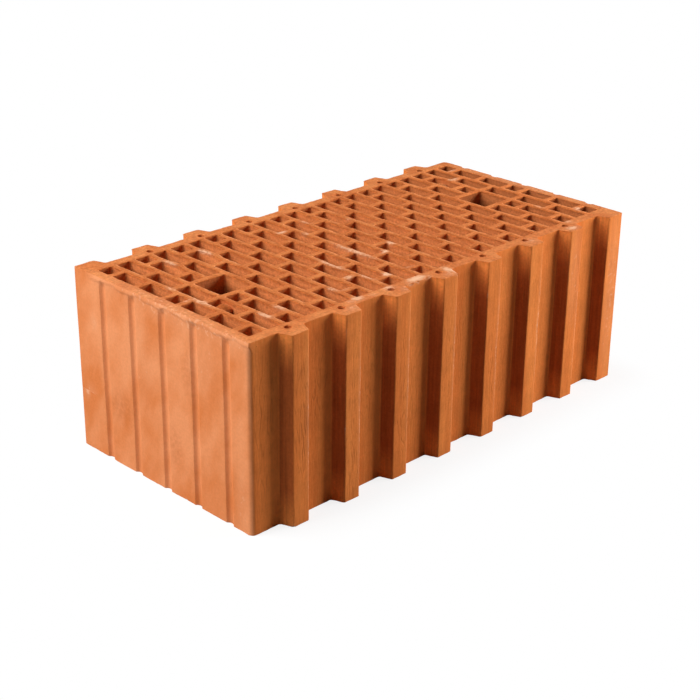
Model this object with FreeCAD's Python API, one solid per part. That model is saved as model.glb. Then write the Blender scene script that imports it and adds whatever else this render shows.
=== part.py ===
# Hollow clay block, one fired piece: clay pressed upright through a die and cut off by wire at both beds.
# Millimetres. The origin is the middle of the lower bed, X runs along the block, Y across it and Z up.
import FreeCAD, Part
import math
import os

# Overall body, measured to the floors of the grooves between the tongues
LENGTH = 510.0
BODY_WIDTH = 237.0
HEIGHT = 188.0
PLAIN_CORNER_RADIUS = 5.0

# Tongues of the two long sides, laid out from the end face that the last one is flush with
TONGUE_DEPTH = 13.0
TONGUE_TIP_WIDTH = 19.0
TONGUE_ROOT_WIDTH = 29.0
TONGUE_PITCH = 64.2
END_TONGUE_CENTRE = 13.3
LEAST_PLAIN_STRIP = 25.0
TONGUE_TIP_RADIUS = 2.0
TONGUE_ROOT_RADIUS = 3.0

# Shallow round-bottomed grooves that key the plaster on the two short faces, one for each row of slots
PLASTER_GROOVE_WIDTH = 10.0
PLASTER_GROOVE_FLOOR = 4.0
PLASTER_GROOVE_DEPTH = 2.5
PLASTER_GROOVE_FLOOR_RADIUS = 4.5
PLASTER_GROOVE_EDGE_RADIUS = 1.2

# Slots, in columns along the block that are staggered by half a slot
COLUMNS = 23
ROWS = 5
END_WALL = 10.2
FACE_WALL = 11.5
COLUMN_WEB = 5.4
CROSS_WEB = 6.0
SLOT_CORNER_CUT = 1.2

# Grip holes, each in place of the middle slots of neighbouring columns
GRIP_FIRST_COLUMN = 2
GRIP_COLUMNS = 2

# Round holes that help the clay at the tongue roots to fire through
FIRING_HOLE_DIAMETER = 7.5
FIRING_HOLE_INSET = 3.5

# Sizes that follow from the ones above
HALF_LENGTH = LENGTH / 2
HALF_WIDTH = BODY_WIDTH / 2
COLUMN_PITCH = (LENGTH - 2 * END_WALL + COLUMN_WEB) / COLUMNS
SLOT_WIDTH = COLUMN_PITCH - COLUMN_WEB
SLOT_FIELD = BODY_WIDTH - 2 * FACE_WALL
ROW_PITCH = (SLOT_FIELD + CROSS_WEB) / ROWS
SLOT_LENGTH = ROW_PITCH - CROSS_WEB
SHORT_SLOT = ROW_PITCH / 2 - CROSS_WEB
TONGUE_RUN = LENGTH - END_TONGUE_CENTRE - TONGUE_ROOT_WIDTH / 2 - LEAST_PLAIN_STRIP
FREE_TONGUES = math.floor(TONGUE_RUN / TONGUE_PITCH)

# A fillet takes at most this share of each straight side beside it
FILLET_SHARE = 0.45


def rounded_wire(corners):
    """Closed wire through (x, y, radius) corners, each rounded by an arc tangent to both its sides."""
    points = [FreeCAD.Vector(x, y, 0) for x, y, _ in corners]
    arcs = []
    for i, (_, _, radius) in enumerate(corners):
        back = points[i - 1] - points[i]
        ahead = points[(i + 1) % len(points)] - points[i]
        half_angle = back.getAngle(ahead) / 2
        room = FILLET_SHARE * min(back.Length, ahead.Length)
        tangent = min(radius / math.tan(half_angle), room)
        arc_radius = tangent * math.tan(half_angle)
        back.normalize()
        ahead.normalize()
        inward = (back + ahead).normalize()
        middle = points[i] + inward * (arc_radius / math.sin(half_angle) - arc_radius)
        arcs.append(Part.Arc(points[i] + back * tangent, middle, points[i] + ahead * tangent).toShape())
    edges = []
    for i, arc in enumerate(arcs):
        edges.append(Part.makeLine(arcs[i - 1].lastVertex().Point, arc.firstVertex().Point))
        edges.append(arc)
    return Part.Wire(edges)


def tongue_centres():
    """X of the tongues that stand free on the front side, from the plain corner to the flush end."""
    flush = HALF_LENGTH - END_TONGUE_CENTRE
    return [flush - TONGUE_PITCH * k for k in range(FREE_TONGUES, 0, -1)]


def front_corners():
    """Front side from its plain corner to the tongue that is flush with the far end face."""
    floor = -HALF_WIDTH
    tip = floor - TONGUE_DEPTH
    half_root = TONGUE_ROOT_WIDTH / 2
    half_tip = TONGUE_TIP_WIDTH / 2
    corners = [(-HALF_LENGTH, floor, PLAIN_CORNER_RADIUS)]
    for centre in tongue_centres():
        corners += [
            (centre - half_root, floor, TONGUE_ROOT_RADIUS),
            (centre - half_tip, tip, TONGUE_TIP_RADIUS),
            (centre + half_tip, tip, TONGUE_TIP_RADIUS),
            (centre + half_root, floor, TONGUE_ROOT_RADIUS),
        ]
    flush = HALF_LENGTH - END_TONGUE_CENTRE
    return corners + [
        (flush - half_root, floor, TONGUE_ROOT_RADIUS),
        (flush - half_tip, tip, TONGUE_TIP_RADIUS),
        (HALF_LENGTH, tip, TONGUE_TIP_RADIUS),
    ]


def end_face_corners():
    """Short face at +X, from front to back, with its plaster grooves in line with the rows of slots."""
    floor = HALF_LENGTH - PLASTER_GROOVE_DEPTH
    half_mouth = PLASTER_GROOVE_WIDTH / 2
    half_floor = PLASTER_GROOVE_FLOOR / 2
    corners = []
    for row in range(ROWS):
        centre = ROW_PITCH * (row - (ROWS - 1) / 2)
        corners += [
            (HALF_LENGTH, centre - half_mouth, PLASTER_GROOVE_EDGE_RADIUS),
            (floor, centre - half_floor, PLASTER_GROOVE_FLOOR_RADIUS),
            (floor, centre + half_floor, PLASTER_GROOVE_FLOOR_RADIUS),
            (HALF_LENGTH, centre + half_mouth, PLASTER_GROOVE_EDGE_RADIUS),
        ]
    return corners


def outline():
    """Outer outline. The back and the far end are the front and the near end turned half round."""
    half = front_corners() + end_face_corners()
    return rounded_wire(half + [(-x, -y, radius) for x, y, radius in half])


def stacked(lengths):
    """(start, end) spans across the block for slots of these lengths, a cross web apart."""
    spans = []
    start = -SLOT_FIELD / 2
    for length in lengths:
        spans.append((start, start + length))
        start += length + CROSS_WEB
    return spans


def column_spans(column):
    """Spans of one column: whole slots, slots staggered by half a pitch, or the finer end column."""
    if column in (0, COLUMNS - 1):
        middles = (ROWS - 1) // 2
        webs = 2 * middles + 2
        middle = (SLOT_FIELD - 3 * SHORT_SLOT - webs * CROSS_WEB) / (2 * middles)
        side = [SHORT_SLOT] + [middle] * middles
        return stacked(side + [SHORT_SLOT] + side[::-1])
    if column % 2:
        return stacked([SLOT_LENGTH] * ROWS)
    return stacked([SHORT_SLOT] + [SLOT_LENGTH] * (ROWS - 1) + [SHORT_SLOT])


def clear_of_grip(spans):
    """The spans cut back to leave the grip hole and a cross web on either side of it."""
    keep_out = SLOT_LENGTH / 2 + CROSS_WEB
    cut = []
    for start, end in spans:
        cut += [(start, min(end, -keep_out)), (max(start, keep_out), end)]
    return [(start, end) for start, end in cut if end - start > CROSS_WEB]


def slot_wire(first_column, last_column, start, end):
    """Rectangle with its corners cut off, over whole columns and from start to end across the block."""
    middle = (COLUMNS - 1) / 2
    left = COLUMN_PITCH * (first_column - middle) - SLOT_WIDTH / 2
    right = COLUMN_PITCH * (last_column - middle) + SLOT_WIDTH / 2
    cut = min(SLOT_CORNER_CUT, FILLET_SHARE * (right - left), FILLET_SHARE * (end - start))
    outline_points = [
        (left + cut, start),
        (right - cut, start),
        (right, start + cut),
        (right, end - cut),
        (right - cut, end),
        (left + cut, end),
        (left, end - cut),
        (left, start + cut),
        (left + cut, start),
    ]
    return Part.makePolygon([FreeCAD.Vector(x, y, 0) for x, y in outline_points])


def slot_wires():
    """All slots, with the two grip holes in place of the ones that they take up."""
    near_grip = range(GRIP_FIRST_COLUMN, GRIP_FIRST_COLUMN + GRIP_COLUMNS)
    far_grip = [COLUMNS - 1 - column for column in reversed(near_grip)]
    wires = []
    for column in range(COLUMNS):
        spans = column_spans(column)
        if column in near_grip or column in far_grip:
            spans = clear_of_grip(spans)
        wires += [slot_wire(column, column, start, end) for start, end in spans]
    for grip in (near_grip, far_grip):
        wires.append(slot_wire(grip[0], grip[-1], -SLOT_LENGTH / 2, SLOT_LENGTH / 2))
    return wires


def firing_hole_wires():
    """One round hole at the root of each tongue that stands free, on both sides."""
    wires = []
    for centre in tongue_centres():
        for side in (1, -1):
            place = FreeCAD.Vector(centre, FIRING_HOLE_INSET - HALF_WIDTH, 0) * side
            circle = Part.Circle(place, FreeCAD.Vector(0, 0, 1), FIRING_HOLE_DIAMETER / 2)
            wires.append(Part.Wire(circle.toShape()))
    return wires


def clay_block():
    """The pressed section, drawn up to the height that the wire cuts."""
    wires = [outline()] + slot_wires() + firing_hole_wires()
    section = Part.makeFace(wires, "Part::FaceMakerBullseye")
    return section.extrude(FreeCAD.Vector(0, 0, HEIGHT))


os.makedirs("parts", exist_ok=True)
clay_block().exportStep("parts/clay_block.step")
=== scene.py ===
"""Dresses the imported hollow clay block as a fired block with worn, wire-cut edges.

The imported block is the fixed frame, and one mesh stands for it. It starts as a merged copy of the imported
mesh, so every slot, tongue and groove stays where the frame has it. It then gets rounded and crumbled rims,
a lip of dragged clay, torn webs, chips, and marks that the fired-clay finish reads.
"""
import logging
import math
import random
from collections.abc import Callable, Iterable
from dataclasses import dataclass
from enum import Enum

import bmesh
import bpy
import numpy as np
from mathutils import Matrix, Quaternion, Vector

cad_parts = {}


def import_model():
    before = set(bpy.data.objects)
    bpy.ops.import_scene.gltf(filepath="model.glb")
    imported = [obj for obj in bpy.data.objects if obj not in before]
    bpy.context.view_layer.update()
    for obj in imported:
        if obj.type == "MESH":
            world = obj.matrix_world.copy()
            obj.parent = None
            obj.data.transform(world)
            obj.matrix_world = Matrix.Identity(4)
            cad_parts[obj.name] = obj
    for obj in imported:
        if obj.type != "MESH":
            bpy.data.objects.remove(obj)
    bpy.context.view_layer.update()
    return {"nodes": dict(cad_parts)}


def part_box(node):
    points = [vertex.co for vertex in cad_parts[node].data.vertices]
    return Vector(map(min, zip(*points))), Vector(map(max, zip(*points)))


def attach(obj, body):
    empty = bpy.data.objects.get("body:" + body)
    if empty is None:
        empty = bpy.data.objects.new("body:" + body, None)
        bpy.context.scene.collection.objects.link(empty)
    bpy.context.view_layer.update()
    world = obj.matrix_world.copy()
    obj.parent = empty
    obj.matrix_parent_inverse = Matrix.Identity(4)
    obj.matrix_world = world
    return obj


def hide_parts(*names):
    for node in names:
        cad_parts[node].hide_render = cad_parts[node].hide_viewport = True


MM = 0.001
NODE = "clay_block"
BODY = "root"
MARKS = "clay_marks"
PHOTO_SIDE_PX = 700
WALL_TILT = 0.5
log = logging.getLogger("clay_block")

Pair = tuple[float, float]
Triple = tuple[float, float, float]
Piece = bpy.types.Object
Tree = bpy.types.NodeTree
Socket = bpy.types.NodeSocket
Face = bmesh.types.BMFace
Edge = bmesh.types.BMEdge


class Change(Enum):
    """What a set of clay lumps does to the block."""

    ADD = "UNION"
    BREAK_AWAY = "DIFFERENCE"


class Way(Enum):
    """The way that a displacement moves points."""

    ALONG = "X"
    UP = "Z"
    OUT = "NORMAL"
    ALL_WAYS = "RGB_TO_XYZ"


class Kind(Enum):
    """What is picked in edit mode."""

    FACE = "faces"
    EDGE = "edges"
    VERT = "verts"


class Layer(Enum):
    """What each channel of the marks holds; the first holds chalky wear and painted highlight lines."""

    CHALK = 0
    STAIN = 1
    SLOT_WALL = 2
    TEAR = 3


def linear(hex_colour: str) -> tuple[float, float, float, float]:
    """Turns an sRGB hex colour to linear light.

    Args:
        hex_colour: Six hex digits after a number sign.

    Returns:
        Red, green, blue and an alpha of 1.
    """
    channels = [int(hex_colour[i:i + 2], 16) / 255 for i in (1, 3, 5)]
    light = [c / 12.92 if c <= 0.04045 else ((c + 0.055) / 1.055) ** 2.4 for c in channels]
    return (light[0], light[1], light[2], 1.0)


def per_metre(size_mm: float) -> float:
    """Texture scale that gives a pattern of this size on coordinates in metres."""
    return 1.0 / (size_mm * MM)


def smooth_step(low: float, high: float, values: np.ndarray) -> np.ndarray:
    """Eases values from 0 at low to 1 at high. A low above high eases the other way."""
    share = np.clip((values - low) / (high - low), 0.0, 1.0)
    return share * share * (3.0 - 2.0 * share)


def add_node(
    tree: Tree, kind: str, inputs: dict | None = None, out: int | str = 0, **settings: object
) -> Socket | None:
    """Adds a shader node with its settings, and sets or links its inputs.

    Args:
        tree: The node tree to add to.
        kind: The node's type, without the words that every type starts with.
        inputs: Input name or index, with a value to set or an output socket to link.
        out: Name or index of the output that is wanted.
        settings: Properties of the node.

    Returns:
        That output of the new node, or None where it has no outputs.
    """
    node = tree.nodes.new("ShaderNode" + kind)
    for name, value in settings.items():
        setattr(node, name, value)
    for name, value in (inputs or {}).items():
        if isinstance(value, Socket):
            tree.links.new(value, node.inputs[name])
        else:
            node.inputs[name].default_value = value
    return node.outputs[out] if node.outputs else None


def empty_tree(owner: bpy.types.Material | bpy.types.World) -> Tree:
    """Gives a material or a world a node tree with no nodes in it.

    Args:
        owner: The material or world.

    Returns:
        Its tree.
    """
    owner.use_nodes = True
    owner.node_tree.nodes.clear()
    return owner.node_tree


def add_object(name: str, data: bpy.types.ID) -> Piece:
    """Adds an object to the scene.

    Args:
        name: Its name.
        data: Its mesh, lamp or camera.

    Returns:
        The object.
    """
    piece = bpy.data.objects.new(name, data)
    bpy.context.scene.collection.objects.link(piece)
    return piece


def face_point(piece: Piece, place: Vector, aim: Vector, roll_deg: float = 0.0) -> None:
    """Stands a lamp or camera at a place and turns it to a point.

    Args:
        piece: The lamp or camera.
        place: Where it stands, in metres.
        aim: The point that it faces, in metres.
        roll_deg: Its turn about its own axis.
    """
    towards = (aim - place).to_track_quat("-Z", "Y")
    piece.location = place
    piece.rotation_mode = "QUATERNION"
    piece.rotation_quaternion = towards @ Quaternion((0.0, 0.0, 1.0), math.radians(roll_deg))


def select_only(piece: Piece) -> None:
    """Makes a piece the only selected one, and the active one."""
    bpy.ops.object.select_all(action="DESELECT")
    piece.select_set(True)
    bpy.context.view_layer.objects.active = piece


def pick(piece: Piece, kind: Kind, wanted: Callable[..., bool]) -> None:
    """Selects the faces, edges or points that pass a test.

    Args:
        piece: The piece, in edit mode.
        kind: What is picked.
        wanted: The test.
    """
    bpy.ops.mesh.select_mode(type=kind.name)
    bpy.ops.mesh.select_all(action="DESELECT")
    mesh = bmesh.from_edit_mesh(piece.data)
    for item in getattr(mesh, kind.value):
        if wanted(item):
            item.select_set(True)
    bmesh.update_edit_mesh(piece.data)


def cut_level(piece: Piece, height_mm: float, wanted: Callable[[Face], bool]) -> None:
    """Cuts a row of points, at one height, through the faces that pass a test."""
    pick(piece, Kind.FACE, wanted)
    bpy.ops.mesh.bisect(plane_co=(0.0, 0.0, height_mm * MM), plane_no=(0.0, 0.0, 1.0))


def is_wall(face: Face) -> bool:
    """Whether a face stands upright: the outside, a slot or a hole."""
    return abs(face.normal.z) < WALL_TILT


def is_bed(face: Face) -> bool:
    """Whether a face is part of one of the two beds."""
    return not is_wall(face)


def is_rim(edge: Edge) -> bool:
    """Whether an edge lies between a wall and a bed."""
    return is_wall(edge.link_faces[0]) != is_wall(edge.link_faces[1])


def is_within_bed(edge: Edge) -> bool:
    """Whether an edge lies inside a bed."""
    return is_bed(edge.link_faces[0]) and is_bed(edge.link_faces[1])


def mesh_points(piece: Piece) -> np.ndarray:
    """The piece's points in millimetres, one row each."""
    flat = np.empty(len(piece.data.vertices) * 3)
    piece.data.vertices.foreach_get("co", flat)
    return flat.reshape(-1, 3) / MM


def set_group(piece: Piece, name: str, weights: np.ndarray) -> None:
    """Makes a vertex group with a weight from 0 to 1 for each point.

    Args:
        piece: The piece.
        name: The group's name.
        weights: The weights.
    """
    group = piece.vertex_groups.new(name=name)
    for index in np.nonzero(weights)[0]:
        group.add([int(index)], float(weights[index]), "REPLACE")


def displace(piece: Piece, name: str, way: Way, swing_mm: float, **settings: object) -> None:
    """Moves the points of a piece by a displacement, which is applied.

    Args:
        piece: The piece.
        name: What moves it.
        way: The way that points move.
        swing_mm: The distance at full strength.
        settings: Further properties of the displacement.
    """
    modifier = piece.modifiers.new(name, "DISPLACE")
    modifier.direction = way.value
    modifier.strength = swing_mm * MM
    for setting, value in settings.items():
        setattr(modifier, setting, value)
    select_only(piece)
    bpy.ops.object.modifier_apply(modifier=name)


def push(piece: Piece, name: str, way: Way, moves_mm: np.ndarray) -> None:
    """Moves each point of a piece by its own distance.

    Args:
        piece: The piece.
        name: What moves it.
        way: The way that points move.
        moves_mm: The distance for each point. All have one sign.
    """
    farthest = moves_mm[np.argmax(np.abs(moves_mm))]
    set_group(piece, name, moves_mm / farthest)
    displace(piece, name, way, farthest, mid_level=0.0, vertex_group=name)
    piece.vertex_groups.clear()


@dataclass(frozen=True)
class Layout:
    """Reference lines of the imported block, in millimetres, to place marks and damage by.

    Attributes:
        low: The block's lowest corner.
        high: Its highest corner.
        tongue_depth: How far the tongues stand out of the groove floors.
        tongue_pitch: Spacing of the tongues.
        half_tip: Half the width of a tongue's tip.
        end_tongue: From the far end face to the middle of the tongue that is flush with it.
        tongues: How many tongues stand on a side.
    """

    low: Vector
    high: Vector
    tongue_depth: float = 13.0
    tongue_pitch: float = 64.2
    half_tip: float = 9.5
    end_tongue: float = 13.3
    tongues: int = 8

    def on_bed(self, along: float, across: float) -> Triple:
        """A place on the upper bed, from the near end face and from the floor of the front grooves."""
        return (self.low.x + along, self.low.y + self.tongue_depth + across, self.high.z)

    def on_end(self, across: float, up: float) -> Triple:
        """A place on the near end face, from the floor of the front grooves and from the lower bed."""
        return (self.low.x, self.low.y + self.tongue_depth + across, up)

    def on_tip(self, tongue: int, aside: float, up: float) -> Triple:
        """A place on the tip of a front tongue, counted from the near end, off its middle and up."""
        middle = self.high.x - self.end_tongue - self.tongue_pitch * (self.tongues - tongue)
        return (middle + aside, self.low.y, up)

    def on_floor(self, along: float, up: float) -> Triple:
        """A place on the floor of the front grooves, from the near end face and from the lower bed."""
        return (self.low.x + along, self.low.y + self.tongue_depth, up)

    def off_tongue(self, points: np.ndarray) -> np.ndarray:
        """Distances along the block from points to the middle of the nearest tongue on their side.

        Args:
            points: The points.

        Returns:
            The distances.
        """
        from_flush = self.high.x - self.end_tongue + points[:, 0] * np.sign(points[:, 1])
        half = self.tongue_pitch / 2
        return np.abs((from_flush + half) % self.tongue_pitch - half)

    def bed_depth(self, points: np.ndarray) -> np.ndarray:
        """Distances from points to the nearer bed."""
        return np.minimum(points[:, 2] - self.low.z, self.high.z - points[:, 2])


@dataclass(frozen=True)
class Roughening:
    """Soft unevenness of the clay.

    Attributes:
        name: What causes it.
        grain_mm: Size of its humps.
        swing_mm: Height from the lowest to the highest.
        way: The way that points move.
        depth: How many finer layers the humps have.
        group: Vertex group that limits it, or an empty string.
    """

    name: str
    grain_mm: float
    swing_mm: float
    way: Way
    depth: int = 1
    group: str = ""

    def apply(self, piece: Piece) -> None:
        """Moves the points of a piece.

        Args:
            piece: The piece.
        """
        texture = bpy.data.textures.new(self.name, "CLOUDS")
        texture.noise_scale = self.grain_mm * MM
        texture.noise_depth = self.depth
        texture.cloud_type = "COLOR" if self.way is Way.ALL_WAYS else "GRAYSCALE"
        settings = {"texture": texture, "texture_coords": "LOCAL", "mid_level": 0.5}
        displace(piece, self.name, self.way, self.swing_mm, vertex_group=self.group, **settings)
        bpy.data.textures.remove(texture)


@dataclass(frozen=True)
class Lump:
    """A rough ball of clay.

    Attributes:
        middle: Its middle, in millimetres.
        reach: Its half sizes, in millimetres.
        turn_deg: Its turn about the three axes.
    """

    middle: Triple
    reach: Triple
    turn_deg: Triple = (0.0, 0.0, 0.0)


@dataclass(frozen=True)
class LumpSet:
    """Lumps that are put on the block, or broken away from it, together.

    Attributes:
        name: What they are.
        change: Whether they add clay or break it away.
        lumps: The lumps, which don't overlap.
        roughening: The unevenness of their surface.
        fineness: How often the ball that each starts from is divided.
    """

    name: str
    change: Change
    lumps: tuple[Lump, ...]
    roughening: Roughening
    fineness: int = 3

    def build(self) -> Piece:
        """Models the lumps as one mesh.

        Returns:
            The object that holds them.
        """
        piece = add_object(self.name, bpy.data.meshes.new(self.name))
        select_only(piece)
        bpy.ops.object.mode_set(mode="EDIT")
        for lump in self.lumps:
            bpy.ops.mesh.primitive_ico_sphere_add(
                subdivisions=self.fineness,
                radius=1.0,
                location=Vector(lump.middle) * MM,
                rotation=[math.radians(angle) for angle in lump.turn_deg],
                scale=Vector(lump.reach) * MM,
            )
        bpy.ops.object.mode_set(mode="OBJECT")
        self.roughening.apply(piece)
        return piece

    def work_into(self, body: Piece) -> None:
        """Joins the lumps to the block, or breaks them out of it.

        Args:
            body: The block.
        """
        piece = self.build()
        modifier = body.modifiers.new(self.name, "BOOLEAN")
        modifier.operation = self.change.value
        modifier.object = piece
        modifier.solver = "MANIFOLD"
        select_only(body)
        bpy.ops.object.modifier_apply(modifier=self.name)
        bpy.data.objects.remove(piece)
        log.info("%s: %d lumps, block now has %d faces", self.name, len(self.lumps), len(body.data.polygons))


@dataclass
class BlockBody:
    """The fired block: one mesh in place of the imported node.

    Attributes:
        node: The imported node's object, which is left as it is.
        layout: The block's reference lines.
        name: The piece's name.
        merge_mm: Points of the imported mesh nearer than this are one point.
        flat_deg: Faces that differ less than this are one flat face.
        rim_step_mm: Spacing of points along the rims of slots and outline.
        bed_step_mm: Longest edge inside a bed.
        bed_rounds: How often longer edges are halved.
        rim_width_mm: How far a rim's rounding reaches over the bed.
        rim_drop_mm: How far it reaches down the wall.
        rim_rows_mm: Depths of the rows of points below each bed.
        outer_row_mm: Spacing of the rows of points on the outside.
        end_skin_mm: How far in from the end faces counts as the outside.
        side_skin_mm: How far in from the tongue tips counts as the outside.
        crumble_mm: How deep the crumbling of the rims reaches.
        crease_deg: Edges sharper than this stay sharp to the eye.
        piece: The new piece, once its building has started.
    """

    node: Piece
    layout: Layout
    name: str = "fired_clay_block"
    merge_mm: float = 0.01
    flat_deg: float = 0.5
    rim_step_mm: float = 3.0
    bed_step_mm: float = 7.0
    bed_rounds: int = 3
    rim_width_mm: float = 1.0
    rim_drop_mm: float = 0.28
    rim_rows_mm: Triple = (1.3, 4.5, 14.0)
    outer_row_mm: float = 12.0
    end_skin_mm: float = 4.0
    side_skin_mm: float = 14.0
    crumble_mm: float = 5.0
    crease_deg: float = 30.0
    piece: Piece | None = None

    def build(self) -> Piece:
        """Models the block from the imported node.

        Returns:
            The new piece.
        """
        self.copy_node()
        self.divide_rims()
        self.fill_beds()
        self.round_rims()
        self.cut_rows()
        bpy.ops.object.mode_set(mode="OBJECT")
        self.roughen()
        mesh = self.piece.data
        log.info("%s: %d points, %d faces", self.name, len(mesh.vertices), len(mesh.polygons))
        return self.piece

    def copy_node(self) -> None:
        """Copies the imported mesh, goes to edit mode and merges its loose triangles."""
        mesh = self.node.data.copy()
        mesh.name = self.name
        mesh.materials.clear()
        self.piece = add_object(self.name, mesh)
        select_only(self.piece)
        bpy.ops.object.mode_set(mode="EDIT")
        bpy.ops.mesh.select_all(action="SELECT")
        bpy.ops.mesh.remove_doubles(threshold=self.merge_mm * MM)
        bpy.ops.mesh.customdata_custom_splitnormals_clear()
        pick(self.piece, Kind.FACE, is_wall)
        bpy.ops.mesh.dissolve_limited(angle_limit=math.radians(self.flat_deg))

    def divide_rims(self) -> None:
        """Divides every rim into steps, and the walls below it into strips."""

        def steps(edge: Edge) -> int:
            """How many steps an edge is divided into."""
            return round(edge.calc_length() / (self.rim_step_mm * MM))

        mesh = bmesh.from_edit_mesh(self.piece.data)
        for count in sorted({steps(edge) for edge in mesh.edges if is_rim(edge)}):
            if count > 1:
                pick(self.piece, Kind.EDGE, lambda edge: is_rim(edge) and steps(edge) == count)
                bpy.ops.mesh.subdivide(number_cuts=count - 1)

    def fill_beds(self) -> None:
        """Gives both beds an even net of triangles."""
        longest = self.bed_step_mm * MM
        pick(self.piece, Kind.FACE, is_bed)
        bpy.ops.mesh.dissolve_limited(angle_limit=math.radians(self.flat_deg))
        for turn in range(self.bed_rounds + 1):
            pick(self.piece, Kind.FACE, is_bed)
            bpy.ops.mesh.quads_convert_to_tris(quad_method="BEAUTY", ngon_method="BEAUTY")
            bpy.ops.mesh.beautify_fill(angle_limit=math.pi)
            if turn < self.bed_rounds:
                pick(self.piece, Kind.EDGE, lambda edge: is_within_bed(edge) and edge.calc_length() > longest)
                bpy.ops.mesh.subdivide(number_cuts=1)

    def round_rims(self) -> None:
        """Insets both beds and moves their rims towards mid-height."""
        pick(self.piece, Kind.FACE, is_bed)
        bpy.ops.mesh.inset(thickness=self.rim_width_mm * MM, use_even_offset=True, use_boundary=True)
        near = self.merge_mm * MM
        for height, way in ((self.layout.low.z * MM, 1.0), (self.layout.high.z * MM, -1.0)):
            pick(self.piece, Kind.EDGE, lambda rim: is_rim(rim) and abs(rim.verts[0].co.z - height) < near)
            bpy.ops.transform.translate(value=(0.0, 0.0, way * self.rim_drop_mm * MM))

    def cut_rows(self) -> None:
        """Cuts rows of points round the walls, close together near the beds."""
        low, high = self.layout.low.z, self.layout.high.z
        for bed, way in ((low, 1.0), (high, -1.0)):
            for depth in self.rim_rows_mm:
                cut_level(self.piece, bed + way * depth, is_wall)
        rows = int((high - low) / self.outer_row_mm)
        for row in range(1, rows):
            cut_level(self.piece, low + (high - low) * row / rows, self.is_outer_wall)

    def is_outer_wall(self, face: Face) -> bool:
        """Whether a face is upright and on the outside of the block.

        Args:
            face: A face of the block.

        Returns:
            False for a bed, and for the walls of slots and holes.
        """
        middle = face.calc_center_median() / MM
        at_end = abs(middle.x) > self.layout.high.x - self.end_skin_mm
        at_side = abs(middle.y) > self.layout.high.y - self.side_skin_mm and face.normal.y * middle.y >= 0.0
        return is_wall(face) and (at_end or at_side)

    def roughen(self) -> None:
        """Makes the pressed walls wander, the beds uneven and the rims crumbly."""
        depth = self.layout.bed_depth(mesh_points(self.piece))
        set_group(self.piece, "rims", np.square(np.clip(1.0 - depth / self.crumble_mm, 0.0, 1.0)))
        Roughening("die_drift", 55.0, 0.6, Way.ALL_WAYS).apply(self.piece)
        Roughening("wire_drag", 12.0, 0.5, Way.UP, 2, "rims").apply(self.piece)
        Roughening("crumbs", 3.5, 0.7, Way.OUT, 2, "rims").apply(self.piece)
        self.piece.vertex_groups.clear()

    def finish(self) -> None:
        """Smooths the faces, ties the piece to its body and hides the imported node."""
        select_only(self.piece)
        bpy.ops.object.shade_smooth_by_angle(angle=math.radians(self.crease_deg))
        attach(self.piece, BODY)
        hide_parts(NODE)


@dataclass(frozen=True)
class WireLip:
    """Ragged lip that the cutting wire dragged down over the near end face, into the tops of its grooves.

    Attributes:
        layout: The block's reference lines.
        rows_mm: Depths of the added rows of points on that face.
        height_mm: How far the lip hangs down.
        waves_mm: Height and length of the waves in its lower border.
        proud_mm: How far it stands proud.
        swell: Shares of its height between which it swells to that.
        border_mm: How far its lower border takes to run out.
        fill_mm: How far the clay in the tops of the grooves takes to run out.
        reach_in_mm: How far in over the bed the clay was dragged with it.
        skin_mm: How far in from the end face its wall lies.
        fade_mm: Where it fades out towards the back corner.
        sample_mm: How far from mid-height the plain wall is measured.
    """

    layout: Layout
    rows_mm: tuple[float, ...] = (2.2, 3.2, 5.3, 6.1, 6.9, 7.8, 9.0, 10.6, 12.2)
    height_mm: float = 5.2
    waves_mm: tuple[Pair, ...] = ((1.2, 44.0), (0.8, 19.0), (0.4, 7.0))
    proud_mm: float = 0.65
    swell: Pair = (-0.2, 0.7)
    border_mm: float = 1.7
    fill_mm: float = 7.0
    reach_in_mm: float = 7.0
    skin_mm: float = 3.2
    fade_mm: Pair = (118.0, 92.0)
    sample_mm: float = 10.0

    def build(self, body: Piece) -> None:
        """Drags the lip out of the block.

        Args:
            body: The block.
        """
        low, high = self.layout.low, self.layout.high
        inner = (low.x + self.skin_mm) * MM
        select_only(body)
        bpy.ops.object.mode_set(mode="EDIT")
        for depth in self.rows_mm:
            height = high.z - depth
            cut_level(body, height, lambda face: is_wall(face) and face.calc_center_median().x < inner)
        bpy.ops.object.mode_set(mode="OBJECT")
        points = mesh_points(body)
        depth = high.z - points[:, 2]
        wall_x = self.wall_line(points)
        share = smooth_step(*self.fade_mm, points[:, 1])
        share *= smooth_step(self.reach_in_mm, 0.0, points[:, 0] - wall_x)
        above = self.height_mm - depth
        for height, length in self.waves_mm:
            above += height * np.sin(points[:, 1] * 2.0 * math.pi / length + length)
        proud = self.proud_mm * smooth_step(*self.swell, depth / self.height_mm)
        proud *= smooth_step(0.0, self.border_mm, above)
        fill = (wall_x - low.x) * smooth_step(self.border_mm - self.fill_mm, self.border_mm, above)
        push(body, "wire_lip", Way.ALONG, -share * (fill + proud))
        log.info("wire_lip: %d points dragged", np.count_nonzero(share * (fill + proud)))

    def wall_line(self, points: np.ndarray) -> np.ndarray:
        """Follows the end wall and its grooves.

        Args:
            points: The block's points, in millimetres.

        Returns:
            The wall's place along the block at each point's place across it.
        """
        middle = (points[:, 2].min() + points[:, 2].max()) / 2
        near_middle = np.abs(points[:, 2] - middle) < self.sample_mm
        wall = points[(points[:, 0] < self.layout.low.x + self.skin_mm) & near_middle]
        wall = wall[np.argsort(wall[:, 1])]
        return np.interp(points[:, 1], wall[:, 1], wall[:, 0])


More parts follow.
